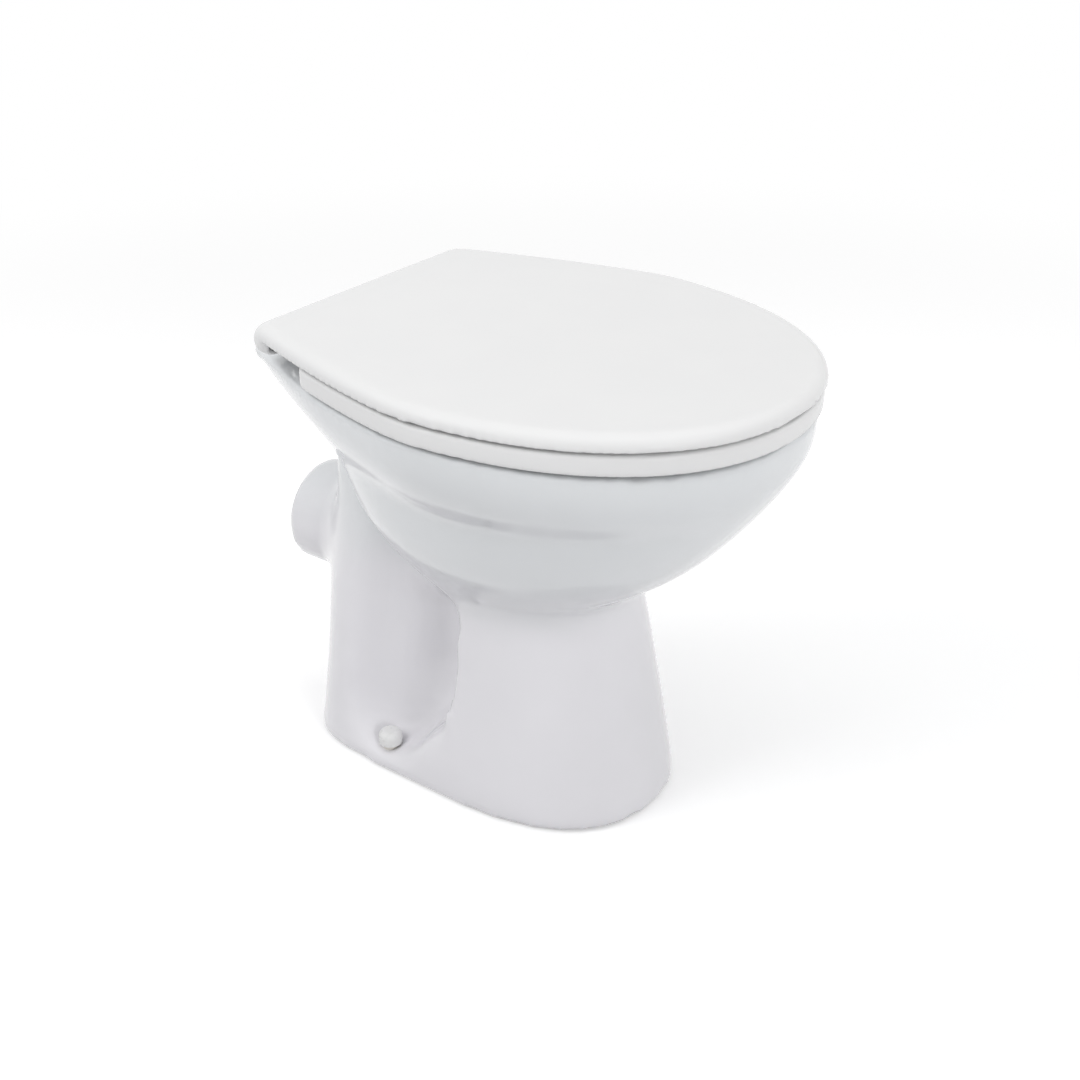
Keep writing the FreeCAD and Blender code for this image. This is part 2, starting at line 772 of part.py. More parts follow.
def make_seat():
    """The seat ring: a shell open underneath, with two arms that reach back to the hinge pins."""
    bottom = rim_height + seat_bottom_gap
    top = rim_height + seat_top_gap
    inset = seat_inset + seat_wall
    hollow = loft([plate_wire(z, inset, seat_rear_fore, seat_corner_radius)
                   for z in (bottom - overrun, top - seat_wall)], True)
    hollow = hollow.cut(seat_opening(bottom - 2 * overrun, top, seat_wall))
    seat = seat_ring(bottom, top).cut(hollow)
    for side in (-1, 1):
        seat = seat.fuse(seat_arm(side)).cut(bore_across(arm_span(side)))
        for fore in seat_bumper_fores.values():
            seat = add_boss(seat, side, fore, bottom, top - seat_wall / 2)
    return seat


# Bumpers and the bosses that hold them

def ring_middle(fore):
    """Half-width of the line along the middle of the seat ring, at a fore distance."""
    inner = egg_half_width(fore, opening_half_width, opening_wide_fore, opening_front_fore, opening_rear_fore,
                           cavity_powers[0])
    if fore < widest_fore:
        return (inner + side_half_width(fore)) / 2
    return (inner + egg_half_width(fore, lid_width / 2, widest_fore, lid_length, 0.0, front_power)) / 2


def ring_place(shape, side, fore):
    """A shape made at the origin along X, set on the ring's middle line and turned along it."""
    slope = (ring_middle(fore + overrun) - ring_middle(fore - overrun)) / (2 * overrun)
    shape.rotate(Vec(0, 0, 0), up, -side * math.degrees(math.atan2(1, slope)))
    shape.translate(Vec(side * ring_middle(fore), lid_rear_y - fore, 0))
    return shape


def stadium(length, width, z0, z1):
    """A flat block with round ends, along X."""
    half = (length - width) / 2
    block = box(-half, half, -width / 2, width / 2, z0, z1)
    for end in (-half, half):
        block = block.fuse(bar(width / 2, z1 - z0, end, 0, z0))
    return block.removeSplitter()


def lid_bumper_base():
    """The height at which the lid's bumpers meet their bosses."""
    return rim_height + seat_top_gap + bumper_clearance + lid_bumper_height


def add_boss(shell, side, fore, z0, z1):
    """The shell with a boss for a bumper, standing down to z0, and the hole for the bumper's peg."""
    boss = stadium(bumper_length + 2 * bumper_seat_margin, bumper_width + 2 * bumper_seat_margin, z0, z1)
    hole = bar(bumper_peg_radius, bumper_peg_length, 0, 0, z0)
    return shell.fuse(ring_place(boss, side, fore)).cut(ring_place(hole, side, fore))


def make_bumper(side, fore, z0, z1):
    """A soft bumper from z0 to z1 with a peg on top that sits in its boss."""
    bumper = stadium(bumper_length, bumper_width, z0, z1)
    bumper = bumper.fuse(bar(bumper_peg_radius, bumper_peg_length, 0, 0, z1))
    return ring_place(bumper, side, fore)


# Hinge hardware

def make_bracket(side):
    """A hinge bracket: a foot on the pan's shelf, a post and a neck that carries the pin."""
    x = side * hinge_spacing / 2
    low = x - bracket_width / 2
    bolt_y = lid_rear_y - hinge_bolt_fore
    neck_top = axis_height + neck_rise
    neck_bottom = axis_height - neck_drop
    eye = bar(eye_radius, bracket_width, low, axis_y, axis_height, across)
    neck = extruded(side_outline(low, [
        (axis_fore, neck_bottom), (axis_fore, neck_top), (post_fore, neck_top), (post_fore, rim_height),
        (post_fore - post_depth, rim_height), (post_fore - post_depth, neck_bottom)]), bracket_width)
    base = bar(base_radius, base_thickness, x, bolt_y, rim_height)
    heel = box(low, low + bracket_width, bolt_y, lid_rear_y - post_fore + post_depth + overrun,
               rim_height, rim_height + base_thickness)
    bolt_hole = bar(bolt_radius, base_thickness + 2 * overrun, x, bolt_y, rim_height - overrun)
    pin_hole = bar(pin_radius, bracket_width + 2 * overrun, low - overrun, axis_y, axis_height, across)
    return union([eye, neck, base, heel]).cut(bolt_hole).cut(pin_hole)


def make_pin(side):
    """A hinge pin, through lid lug, bracket and seat arm."""
    low = side * hinge_spacing / 2 - pin_half_span
    return bar(pin_radius, 2 * pin_half_span, low, axis_y, axis_height, across)


def make_bush(span):
    """A plain bush in an eye."""
    return tube(bush_radius, pin_bore_radius, span[1] - span[0], span[0], axis_y, axis_height, across)


def make_hinge_bolt(side):
    """A coach bolt, its domed head on the bracket's foot and its shank through the pan's shelf."""
    x = side * hinge_spacing / 2
    y = lid_rear_y - hinge_bolt_fore
    z = rim_height + base_thickness
    head = rounded_bar(bolt_head_radius, bolt_head_height, x, y, z, up, bolt_head_edge_radius, far=True)
    return head.fuse(bar(bolt_radius, bolt_length, x, y, z, -up))


def shelf_stack(side):
    """What is stacked on the bolt under the shelf: a rubber washer, a plastic washer and a wing nut."""
    x = side * hinge_spacing / 2
    y = lid_rear_y - hinge_bolt_fore
    ceiling = rim_height - shelf_plate
    nut_top = ceiling - rubber_thickness - washer_thickness
    rubber = tube(washer_radius, bolt_bore_radius, rubber_thickness, x, y, ceiling, -up)
    plastic = tube(washer_radius, bolt_bore_radius, washer_thickness, x, y, ceiling - rubber_thickness, -up)
    wing = box(x - wing_span / 2, x + wing_span / 2, y - wing_thickness / 2, y + wing_thickness / 2,
               nut_top - nut_height - wing_drop, nut_top - nut_height / 2)
    wing = wing.cut(bar(nut_hub_radius, nut_height + wing_drop, x, y, nut_top - nut_height, -up))
    nut = bar(nut_hub_radius, nut_height, x, y, nut_top, -up).fuse(wing)
    nut = nut.cut(bar(bolt_radius, nut_height + 2 * overrun, x, y, nut_top + overrun, -up))
    return {"rubber_washer": rubber, "plastic_washer": plastic, "wing_nut": nut}


# Floor fixings

def make_sleeve(side):
    """A flanged plastic sleeve in the foot's fixing hole."""
    x = side * fixing_half_spacing
    y = lid_rear_y - fixing_fore
    sleeve = bar(fixing_hole_radius, niche_floor, x, y, 0)
    sleeve = sleeve.fuse(bar(sleeve_flange_radius, sleeve_flange_height, x, y, niche_floor))
    return sleeve.cut(bar(sleeve_bore_radius, 2 * niche_floor, x, y, -overrun))


def make_cap(side):
    """A hollow domed cap that snaps over the sleeve's flange."""
    x = side * fixing_half_spacing
    y = lid_rear_y - fixing_fore
    outer = rounded_bar(cap_radius, cap_height, x, y, niche_floor, up, cap_outer_edge_radius, far=True)
    inner = rounded_bar(sleeve_flange_radius, cap_height - cap_wall, x, y, niche_floor, up,
                        cap_inner_edge_radius, far=True)
    return outer.cut(inner)


# All pieces

def make_all():
    """Every piece, by its name."""
    parts = {"pan": make_pan(), "seat": make_seat(), "lid": make_lid()}
    rim_rest = rim_height + bumper_clearance
    seat_rest = rim_height + seat_top_gap + bumper_clearance
    for side, word in ((-1, "left"), (1, "right")):
        pieces = {
            "hinge_bracket": make_bracket(side),
            "hinge_pin": make_pin(side),
            "seat_bush": make_bush(arm_span(side)),
            "lid_bush": make_bush(lug_span(side)),
            "hinge_bolt": make_hinge_bolt(side),
            "floor_sleeve": make_sleeve(side),
            "floor_cap": make_cap(side),
            "lid_bumper": make_bumper(side, lid_bumper_fore, seat_rest, lid_bumper_base()),
        }
        pieces.update(shelf_stack(side))
        for row, fore in seat_bumper_fores.items():
            pieces["seat_bumper_" + row] = make_bumper(side, fore, rim_rest, rim_height + seat_bottom_gap)
        for kind, shape in pieces.items():
            parts[kind + "_" + word] = shape
    return parts


os.makedirs("parts", exist_ok=True)
for name, shape in make_all().items():
    print(name, "valid", shape.isValid(), "solids", len(shape.Solids), "cubic mm", round(shape.Volume))
    shape.exportStep("parts/" + name + ".step")
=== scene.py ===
import math

import bmesh
import bpy
import numpy as np
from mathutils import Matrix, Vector


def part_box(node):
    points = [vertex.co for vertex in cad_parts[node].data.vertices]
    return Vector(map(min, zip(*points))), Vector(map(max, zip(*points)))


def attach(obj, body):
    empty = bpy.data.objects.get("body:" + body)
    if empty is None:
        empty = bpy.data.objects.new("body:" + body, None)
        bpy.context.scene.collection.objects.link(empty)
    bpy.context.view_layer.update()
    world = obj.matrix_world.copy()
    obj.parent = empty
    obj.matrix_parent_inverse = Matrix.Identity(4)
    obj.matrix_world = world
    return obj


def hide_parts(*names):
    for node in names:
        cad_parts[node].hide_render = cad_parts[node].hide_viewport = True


# A floor-standing wash-down toilet: glazed china pan, seat ring and lid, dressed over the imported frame.
# Metres. z = 0 is the floor, -Y is the front, +Y the wall side. A "fore" is a distance forwards from the
# lid's rear edge.

# Camera, as in the photograph
target = Vector((0.0, -0.020, 0.220))
camera_azimuth = -52.73
camera_elevation = 28.32
camera_distance = 1.48244
camera_lens = 56.67
camera_shift = (-0.0088, 0.01273)

# Light: each lamp has a name, a place, what it aims at, a width and a power
white = (1.0, 1.0, 1.0)
background_level = 1.0
even_level = 0.30
ambient_tint = (0.99, 0.992, 1.0)
lamps = (
    ("overhead", (0.20, 0.05, 2.60), (0.0, 0.0, 0.25), 2.4, 18.5),
    ("front", (-0.70, -2.50, 1.40), (0.0, 0.0, 0.20), 1.4, 16.3),
    ("low_front", (-1.40, -2.30, 0.70), (0.0, 0.0, 0.20), 0.9, 12.7),
    ("right", (2.10, -1.60, 1.40), (0.0, 0.0, 0.20), 1.4, 11.4),
    ("rear", (-2.00, 1.20, 2.00), (0.0, 0.0, 0.30), 1.6, 30.0),
    ("rear_high", (-1.00, 2.00, 2.60), (0.0, 0.0, 0.30), 1.6, 9.3),
)

# Floor: the camera and reflections see it paler than it is, and white beyond the fade's two distances
floor_radius = 9.0
floor_sides = 96
floor_colour = (0.55, 0.55, 0.56)
floor_seen_colour = (0.94, 0.94, 0.94)
floor_glow_level = 0.28
floor_fade_reaches = (0.9, 2.0)

# Meshes: voxel sizes, then how far and how often vertices settle towards their neighbours
merge_distance = 1e-6
pan_voxel = 0.0041
shell_voxel = 0.0021
small_voxel = 0.0007
settle_share = 0.5
unsettle_share = -0.52
even_passes = 6
pan_passes = 3
pan_rounds = 8
shell_passes = 2
shell_rounds = 2
fillet_passes = 6
ridge_share = 0.075
ridge_fade_share = 0.03
least_weight = 0.06

# The waist between bowl and pedestal
neck_passes = 34
neck_height = 0.215
neck_reach = 0.055

# The side niches: where their sheets melt into the column and the foot's floor
niche_passes = 50
niche_fores = (0.146, 0.166)
niche_low_reach = 0.025
niche_low_heights = (0.055, 0.095)
niche_tops = (0.235, 0.265)
niche_bottoms = (0.010, 0.020)
niche_least_x = 0.040

# The hollow behind each niche's front edge
crevice_depth = 0.011
crevice_fores = (0.090, 0.130)
crevice_ends = (0.178, 0.186)
crevice_bottoms = (0.060, 0.100)
crevice_tops = (0.160, 0.185)
crevice_inner_xs = (0.036, 0.043)
crevice_outer_xs = (0.050, 0.078)
crevice_passes = 6

# The foot's edge on the floor, and the ends of the outlet and the flush socket, which stay crisp
foot_edge_heights = (0.006, 0.014)
foot_edge_passes = 12
pipe_end_ys = (0.208, 0.226)

# The seat ring's outer edge, and the least share, which keeps its powers off zero
seat_edge_radius = 0.0035
seat_edge_power = 8
seat_outline_steps = 240
seat_skirt_drop = 0.002
seat_skirt_insets = (0.006, 0.015)
seat_least_share = 1e-6

# Thread on the hinge bolts
bolt_radius = 0.004
thread_pitch = 0.00125
thread_length = 0.024
thread_ridge = 0.00022
thread_steps = 24
thread_sides = 4

# China and its glaze. A scale is how many features of a pattern there are in a metre
# The china is cool grey above the bowl's waist, and lilac and a little lighter below it. The lilac is the
# glaze's tint. The lighter tone low down is painted light, standing in for the light that the bright floor
# throws on the pedestal.
china_cool = (0.785, 0.805, 0.82)
china_lilac_painted_lighter = (0.828, 0.818, 0.848)
china_cloud_level = 0.97
china_cloud_scale = 9.0
china_cloud_detail = 3.0
bisque_colour = (0.70, 0.68, 0.64)
bisque_roughness = 0.7
glaze_edge_heights = (0.0008, 0.0022)
glaze_roughness = 0.10
glaze_roughness_spread = 0.03
glaze_ior = 1.52
glaze_coat = 0.6
glaze_coat_roughness = 0.03
# Heights over which the china turns from lilac with painted light to cool grey, the border wandering with
# the clouds
tint_and_painted_light_heights = (0.20, 0.30)
tint_and_painted_light_wander = 0.06
ripple_scale = 85.0
ripple_detail = 1.0
fine_ripple_scale = 420.0
fine_ripple_share = 0.25
ripple_height = 0.00005
cloud_edges = (0.3, 0.7)

# Seat and lid
seat_colour = (0.845, 0.845, 0.843)
seat_cloud_colour = (0.835, 0.835, 0.835)
seat_cloud_scale = 14.0
seat_roughness = 0.17
seat_roughness_spread = 0.05
seat_roughness_scale = 60.0
seat_ior = 1.5
seat_ripple_scale = 160.0
seat_ripple_height = 0.00002

# Steel
steel_colours = ((0.62, 0.62, 0.60), (0.70, 0.70, 0.69))
steel_cloud_scale = 150.0
steel_cloud_detail = 3.0
steel_roughness = 0.26
steel_roughness_spread = 0.12
steel_roughness_scale = 260.0
turning_scale = 900.0
turning_wobble = 1.5
turning_height = 0.00002

# Finishes of the small parts: two colours in clouds, a roughness that varies, and a grain
small_finishes = {
    # White moulded plastic, a little duller than the seat
    "hinge_plastic": {
        "colours": ((0.80, 0.80, 0.79), (0.77, 0.77, 0.765)), "cloud_scale": 40.0, "cloud_detail": 2.0,
        "roughness": 0.30, "spread": 0.12, "roughness_scale": 300.0,
        "grain_scale": 900.0, "grain_height": 0.00004},
    # Natural nylon, milky and dull
    "nylon": {
        "colours": ((0.78, 0.76, 0.70), (0.72, 0.70, 0.65)), "cloud_scale": 120.0, "cloud_detail": 2.0,
        "roughness": 0.42, "spread": 0.1, "roughness_scale": 350.0,
        "grain_scale": 700.0, "grain_height": 0.00003},
    # Black rubber, bloomed here and there
    "rubber": {
        "colours": ((0.018, 0.018, 0.018), (0.045, 0.045, 0.047)), "cloud_scale": 180.0, "cloud_detail": 4.0,
        "roughness": 0.62, "spread": 0.2, "roughness_scale": 90.0,
        "grain_scale": 1500.0, "grain_height": 0.00005},
    # A white plastic cap with a soft sheen
    "cap_plastic": {
        "colours": ((0.83, 0.83, 0.82), (0.80, 0.80, 0.795)), "cloud_scale": 70.0, "cloud_detail": 2.0,
        "roughness": 0.24, "spread": 0.08, "roughness_scale": 240.0,
        "grain_scale": 600.0, "grain_height": 0.00002},
    # Translucent soft plastic, a little grey
    "soft_bumper": {
        "colours": ((0.60, 0.60, 0.59), (0.54, 0.54, 0.535)), "cloud_scale": 200.0, "cloud_detail": 2.0,
        "roughness": 0.5, "spread": 0.15, "roughness_scale": 300.0,
        "grain_scale": 900.0, "grain_height": 0.00004},
}

# CAD nodes that keep their shape, and the finish that each gets on either side
node_slots = {
    "hinge_pin": "steel", "seat_bush": "nylon", "lid_bush": "nylon", "hinge_bolt": "steel",
    "rubber_washer": "rubber", "plastic_washer": "nylon", "floor_sleeve": "nylon",
    "floor_cap": "cap_plastic", "lid_bumper": "soft_bumper", "seat_bumper_rear": "soft_bumper",
    "seat_bumper_front": "soft_bumper",
}
sides = ("left", "right")

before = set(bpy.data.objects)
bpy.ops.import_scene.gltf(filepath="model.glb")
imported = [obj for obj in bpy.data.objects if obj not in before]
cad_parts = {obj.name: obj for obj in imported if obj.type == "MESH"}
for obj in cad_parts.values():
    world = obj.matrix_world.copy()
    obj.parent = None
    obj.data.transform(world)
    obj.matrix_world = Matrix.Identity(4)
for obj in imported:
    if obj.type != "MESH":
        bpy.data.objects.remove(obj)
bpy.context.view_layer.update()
lid_rear_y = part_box("lid")[1][1]


# Shader maths

class Amount:
    """A number that varies over a surface: a socket that takes part in arithmetic."""

    def __init__(self, paint, socket):
        self.paint = paint
        self.socket = socket

    def __add__(self, other):
        return self.paint.maths("ADD", self, other)

    def __radd__(self, other):
        return self.paint.maths("ADD", other, self)

    def __mul__(self, other):
        return self.paint.maths("MULTIPLY", self, other)

    def __rmul__(self, other):
        return self.paint.maths("MULTIPLY", other, self)


class Paint:
    """A node tree under construction."""

    def __init__(self, tree):
        self.tree = tree
        tree.nodes.clear()

    def node(self, kind, settings=None, values=None, output=0):
        """Adds a node: its settings first, then its sockets' values or links. Returns one output."""
        made = self.tree.nodes.new(kind)
        for key, value in (settings or {}).items():
            setattr(made, key, value)
        for key, value in (values or {}).items():
            if isinstance(value, Amount):
                self.tree.links.new(value.socket, made.inputs[key])
            else:
                made.inputs[key].default_value = value
        return Amount(self, made.outputs[output]) if len(made.outputs) else made

    def maths(self, operation, first, second):
        """A Math node on two numbers."""
        return self.node("ShaderNodeMath", {"operation": operation}, {0: first, 1: second})

    def place(self):
        """The point's own coordinates in the object, in metres."""
        return self.node("ShaderNodeTexCoord", output="Object")

    def height(self):
        """The point's z."""
        return self.node("ShaderNodeSeparateXYZ", values={0: self.place()}, output="Z")

    def noise(self, scale, detail=2.0):
        """A cloudy pattern from 0 to 1, its features about 1 / scale metres wide."""
        return self.node("ShaderNodeTexNoise", values={
            "Vector": self.place(), "Scale": scale, "Detail": detail})

    def between(self, value, low, high, to_low=0.0, to_high=1.0):
        """A value carried smoothly from one range to another, held at its ends."""
        return self.node("ShaderNodeMapRange", {"interpolation_type": "SMOOTHSTEP"}, {
            "Value": value, "From Min": low, "From Max": high, "To Min": to_low, "To Max": to_high})

    def blend(self, share, first, second):
        """A colour between two colours, which are the node's sockets 6 and 7."""
        return self.node("ShaderNodeMix", {"data_type": "RGBA"}, {
            "Factor": share, 6: as_colour(first), 7: as_colour(second)}, output="Result")

    def shade(self, colour, level):
        """A colour made darker or lighter."""
        return self.node("ShaderNodeVectorMath", {"operation": "SCALE"}, {"Vector": colour, "Scale": level})

    def bump(self, height, distance):
        """A normal for a relief of that height."""
        return self.node("ShaderNodeBump", values={"Height": height, "Distance": distance})

    def seen(self, kinds):
        """1 for rays of these kinds and 0 for others."""
        rays = self.node("ShaderNodeLightPath").socket.node
        total = sum(Amount(self, rays.outputs["Is " + kind + " Ray"]) for kind in kinds)
        return self.between(total, 0.0, 1.0)

    def glow(self, kind, colour, level):
        """A shader that gives off light: an emission, or a world's background."""
        return self.node(kind, values={"Color": as_colour(colour), "Strength": level})

    def matt(self, colour):
        """A plain diffuse shader."""
        return self.node("ShaderNodeBsdfDiffuse", values={"Color": as_colour(colour)})

    def mixed(self, share, first, second):
        """A shader between two shaders."""
        return self.node("ShaderNodeMixShader", values={0: share, 1: first, 2: second})


def as_colour(value):
    """A colour with its alpha, or the link that it is."""
    return value if isinstance(value, Amount) else (*value, 1.0)


# Materials

def china(paint):
    """Vitreous china under a thick clear glaze, bare where it stands on the floor."""
    z = paint.height()
    cloud = paint.noise(china_cloud_scale, china_cloud_detail)
    glazed = paint.between(z, *glaze_edge_heights)
    # Painted light: below the bowl the china is lighter as well as lilac
    tint_and_painted_light = paint.blend(paint.between(z + tint_and_painted_light_wander * cloud, *tint_and_painted_light_heights), china_lilac_painted_lighter, china_cool)
    colour = paint.blend(paint.between(cloud, *cloud_edges), tint_and_painted_light, paint.shade(tint_and_painted_light, china_cloud_level))
    fine_ripple = paint.noise(fine_ripple_scale, ripple_detail)
    ripple = paint.noise(ripple_scale, ripple_detail) + fine_ripple_share * fine_ripple
    roughness = paint.between(glazed, 0.0, 1.0, bisque_roughness, glaze_roughness)
    return {
        "Base Color": paint.blend(glazed, bisque_colour, colour),
        "Roughness": roughness + glaze_roughness_spread * cloud,
        "IOR": glaze_ior,
        "Coat Weight": glaze_coat * glazed,
        "Coat Roughness": glaze_coat_roughness,
        "Normal": paint.bump(ripple, ripple_height),
    }


def seat_plastic(paint):
    """Hard white moulded plastic with a high gloss."""
    cloud = paint.between(paint.noise(seat_cloud_scale), *cloud_edges)
    return {
        "Base Color": paint.blend(cloud, seat_colour, seat_cloud_colour),
        "Roughness": seat_roughness + seat_roughness_spread * paint.noise(seat_roughness_scale),
        "IOR": seat_ior,
        "Normal": paint.bump(paint.noise(seat_ripple_scale, ripple_detail), seat_ripple_height),
    }


def steel(paint):
    """Zinc-plated steel, with fine turning marks."""
    rings = paint.node("ShaderNodeTexWave", {"bands_direction": "Z"}, {
        "Vector": paint.place(), "Scale": turning_scale, "Distortion": turning_wobble}, output="Fac")
    return {
        "Base Color": paint.blend(paint.noise(steel_cloud_scale, steel_cloud_detail), *steel_colours),
        "Metallic": 1.0,
        "Roughness": steel_roughness + steel_roughness_spread * paint.noise(steel_roughness_scale),
        "Normal": paint.bump(rings, turning_height),
    }


def small_part(finish):
    """A function for one of the small parts' finishes."""
    def build(paint):
        cloud = paint.noise(finish["cloud_scale"], finish["cloud_detail"])
        return {
            "Base Color": paint.blend(cloud, *finish["colours"]),
            "Roughness": finish["roughness"] + finish["spread"] * paint.noise(finish["roughness_scale"]),
            "Normal": paint.bump(paint.noise(finish["grain_scale"]), finish["grain_height"]),
        }
    return build


def make_material(name, build):
    """A material named as the record's slot, from a function that returns its shader's socket values."""
    material = bpy.data.materials.new(name)
    material.use_nodes = True
    paint = Paint(material.node_tree)
    shader = paint.node("ShaderNodeBsdfPrincipled", values=build(paint))
    paint.node("ShaderNodeOutputMaterial", values={"Surface": shader})
    return material


builders = {"china": china, "seat_plastic": seat_plastic, "steel": steel}
for slot_name, finish in small_finishes.items():
    builders[slot_name] = small_part(finish)
materials = {slot_name: make_material(slot_name, build) for slot_name, build in builders.items()}


# Meshes

def link(piece):
    """The object, put in the scene."""
    bpy.context.scene.collection.objects.link(piece)
    return piece


def give_finish(mesh, slot):
    """Gives a mesh one material in place of those it has."""
    mesh.materials.clear()
    mesh.materials.append(materials[slot])


def evaluated_mesh(piece):
    """A plain mesh of what the object's modifiers make."""
    graph = bpy.context.evaluated_depsgraph_get()
    return bpy.data.meshes.new_from_object(piece.evaluated_get(graph))


class Web:
    """A mesh's vertices and how they are joined, for moving them about."""

    def __init__(self, mesh):
        self.mesh = mesh
        self.count = len(mesh.vertices)
        self.places = self.read("co")
        ends = np.empty(2 * len(mesh.edges), dtype=np.int64)
        mesh.edges.foreach_get("vertices", ends)
        self.first, self.second = ends[0::2], ends[1::2]
        self.degree = np.bincount(ends, minlength=self.count)[:, None]

    def read(self, field):
        """One vector for each vertex: its place, "co", or its outward direction, "normal"."""
        values = np.empty(3 * self.count)
        self.mesh.vertices.foreach_get(field, values)
        return values.reshape(-1, 3)

    def pull(self):
        """The way from each vertex to the middle of its neighbours."""
        total = np.stack([
            np.bincount(self.first, self.places[self.second, axis], self.count)
            + np.bincount(self.second, self.places[self.first, axis], self.count)
            for axis in range(3)], axis=1)
        return total / self.degree - self.places

    def settle(self, shares, weights=1.0):
        """Moves the vertices towards the middle of their neighbours, or away, once for each share."""
        for share in shares:
            self.places = self.places + share * np.reshape(weights, (-1, 1)) * self.pull()

    def fill_hollows(self, voxel, rounds):
        """Rounds the inner corners and the facets, and leaves the outer edges crisp."""
        ridge, fade = ridge_share * voxel, ridge_fade_share * voxel
        for _ in range(rounds):
            self.store()
            height = (self.pull() * self.read("normal")).sum(axis=1)
            weights = np.clip((height + ridge) / fade, least_weight, 1.0)
            self.settle([settle_share] * fillet_passes, weights)

    def store(self):
        """Writes the vertices back to the mesh."""
        self.mesh.vertices.foreach_set("co", self.places.ravel())
        self.mesh.update()


def faded(value, low, high):
    """1 below the low end, 0 above the high end, and a straight run between."""
    return np.clip((high - value) / (high - low), 0.0, 1.0)


def softened(node, name, body, slot, voxel, passes=0, rounds=0, shape=None, drop=0.0, crisp_ys=None):
    """A new piece in the shape of a CAD node, evenly meshed, with its inner corners rounded.

    A shape function then moves its vertices. Past crisp_ys the piece keeps its edges, and it may reach
    lower than the node by the drop.
    """
    work = bmesh.new()
    work.from_mesh(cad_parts[node].data)
    bmesh.ops.remove_doubles(work, verts=work.verts, dist=merge_distance)
    rough = bpy.data.meshes.new(name)
    work.to_mesh(rough)
    work.free()
    piece = link(bpy.data.objects.new(name, rough))
    remesh = piece.modifiers.new("remesh", "REMESH")
    remesh.mode = "VOXEL"
    remesh.voxel_size = voxel
    mesh = evaluated_mesh(piece)
    piece.modifiers.clear()
    piece.data = mesh
    web = Web(mesh)
    web.settle([settle_share, unsettle_share] * even_passes)
    crisp = web.places.copy()
    web.settle([settle_share] * passes)
    web.fill_hollows(voxel, rounds)
    if shape:
        shape(web)
    if crisp_ys:
        share = 1.0 - faded(crisp[:, 1:2], *crisp_ys)
        web.places = web.places + share * (crisp - web.places)
    low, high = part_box(node)
    web.places = np.clip(web.places, np.subtract(low, (0.0, 0.0, drop)), high)
    web.store()
    mesh.shade_smooth()
    give_finish(mesh, slot)
    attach(piece, body)
    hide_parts(node)


def shape_pan(web):
    """Melts the bowl into the pedestal, and the niches into the column and the foot's floor.

    Then it hollows each niche behind its front edge, and rounds the foot's edge on the floor.
    """
    x, y, z = web.places.T
    fore = lid_rear_y - y
    near_neck = np.clip(1.0 - (np.abs(z - neck_height) / neck_reach) ** 2, 0.0, 1.0)
    web.settle([settle_share] * neck_passes, near_neck)
    low_down = faded(z, *niche_low_heights) * niche_low_reach
    within = faded(fore - low_down, *niche_fores) * faded(z, *niche_tops) * (1.0 - faded(z, *niche_bottoms))
    web.settle([settle_share] * niche_passes, within * (np.abs(x) > niche_least_x))
    x, y, z = web.places.T
    fore = lid_rear_y - y
    deep = (1.0 - faded(fore, *crevice_fores)) * (1.0 - faded(z, *crevice_bottoms)) * faded(z, *crevice_tops)
    deep = deep * faded(fore, *crevice_ends)
    deep = deep * (1.0 - faded(np.abs(x), *crevice_inner_xs)) * faded(np.abs(x), *crevice_outer_xs)
    web.places[:, 0] -= crevice_depth * np.sign(x) * deep
    web.settle([settle_share] * crevice_passes, deep)
    web.settle([settle_share] * foot_edge_passes, faded(z, *foot_edge_heights))


def shape_seat(web):
    """Tightens the ring's upper outer edge, and brings its outer skirt down nearly to the china."""
    low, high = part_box("seat")
    middle = (low[1] + high[1]) / 2
    x, y, z = web.places.T
    around, reach = np.arctan2(x, y - middle), np.hypot(x, y - middle)
    steps = np.floor((around / math.tau + 0.5) * seat_outline_steps).astype(int) % seat_outline_steps
    outline = np.zeros(seat_outline_steps)
    np.maximum.at(outline, steps, reach)
    angles = ((np.arange(seat_outline_steps) + 0.5) / seat_outline_steps - 0.5) * math.tau
    outer = np.interp(around, angles, outline, period=math.tau)
    out = np.clip(1.0 - (outer - reach) / seat_edge_radius, seat_least_share, 1.0)
    up = np.clip(1.0 - (high[2] - z) / seat_edge_radius, seat_least_share, 1.0)
    grow = np.hypot(out, up) / (out ** seat_edge_power + up ** seat_edge_power) ** (1 / seat_edge_power)
    wider = 1.0 + seat_edge_radius * out * (grow - 1.0) / reach
    lower = np.clip(1.0 - (z - low[2]) / ((high[2] - low[2]) / 2), 0.0, 1.0)
    lift = seat_edge_radius * up * (grow - 1.0)
    fall = seat_skirt_drop * lower * faded(outer - reach, *seat_skirt_insets)
    web.places = np.stack([x * wider, middle + (y - middle) * wider, z + lift - fall], axis=1)


